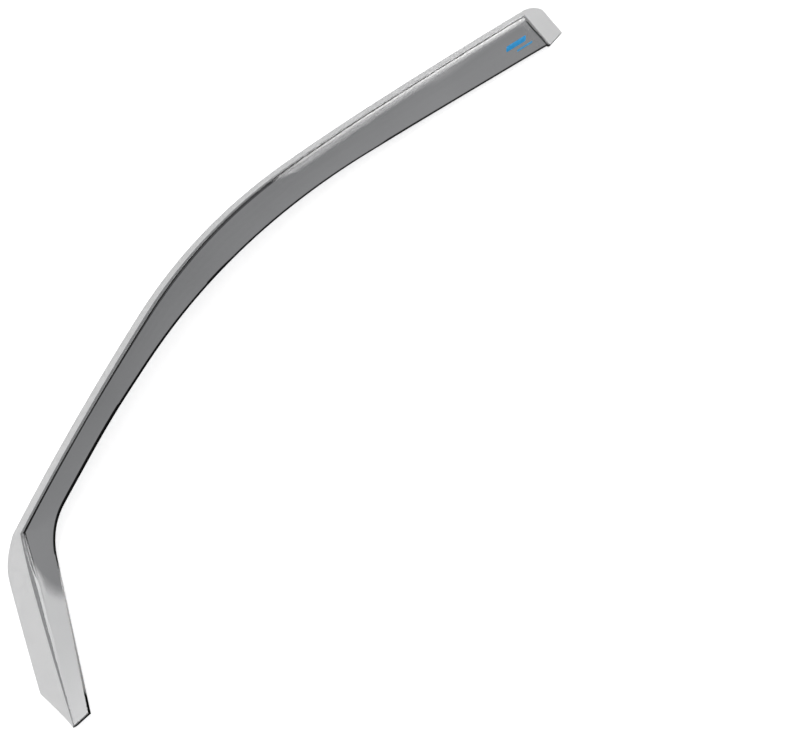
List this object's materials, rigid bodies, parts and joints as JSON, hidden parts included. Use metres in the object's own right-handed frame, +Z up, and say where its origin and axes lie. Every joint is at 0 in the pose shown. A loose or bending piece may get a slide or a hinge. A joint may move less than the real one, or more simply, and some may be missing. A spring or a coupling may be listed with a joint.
{
  "type": "window rain deflector",
  "caption": "Smoked acrylic rain deflector for a front side window: a bent visor with a thin flange for the window channel and a flat rear tab.",
  "frame": {"origin": "front corner of the crease, where the pillar run meets the front post, on the outer face of the full sheet", "axes": "+X rearwards along the car, +Z up, outer face towards -Y; the flange's back lies in the plane y = +3 mm"},
  "size_m": [0.9037, 0.027, 0.458],
  "materials": {
    "smoked_acrylic": "smoked clear acrylic, polished outside, milled and frosted on the flange"
  },
  "bodies": {
    "root": {"deflector": "smoked_acrylic"}
  },
  "joints": []
}
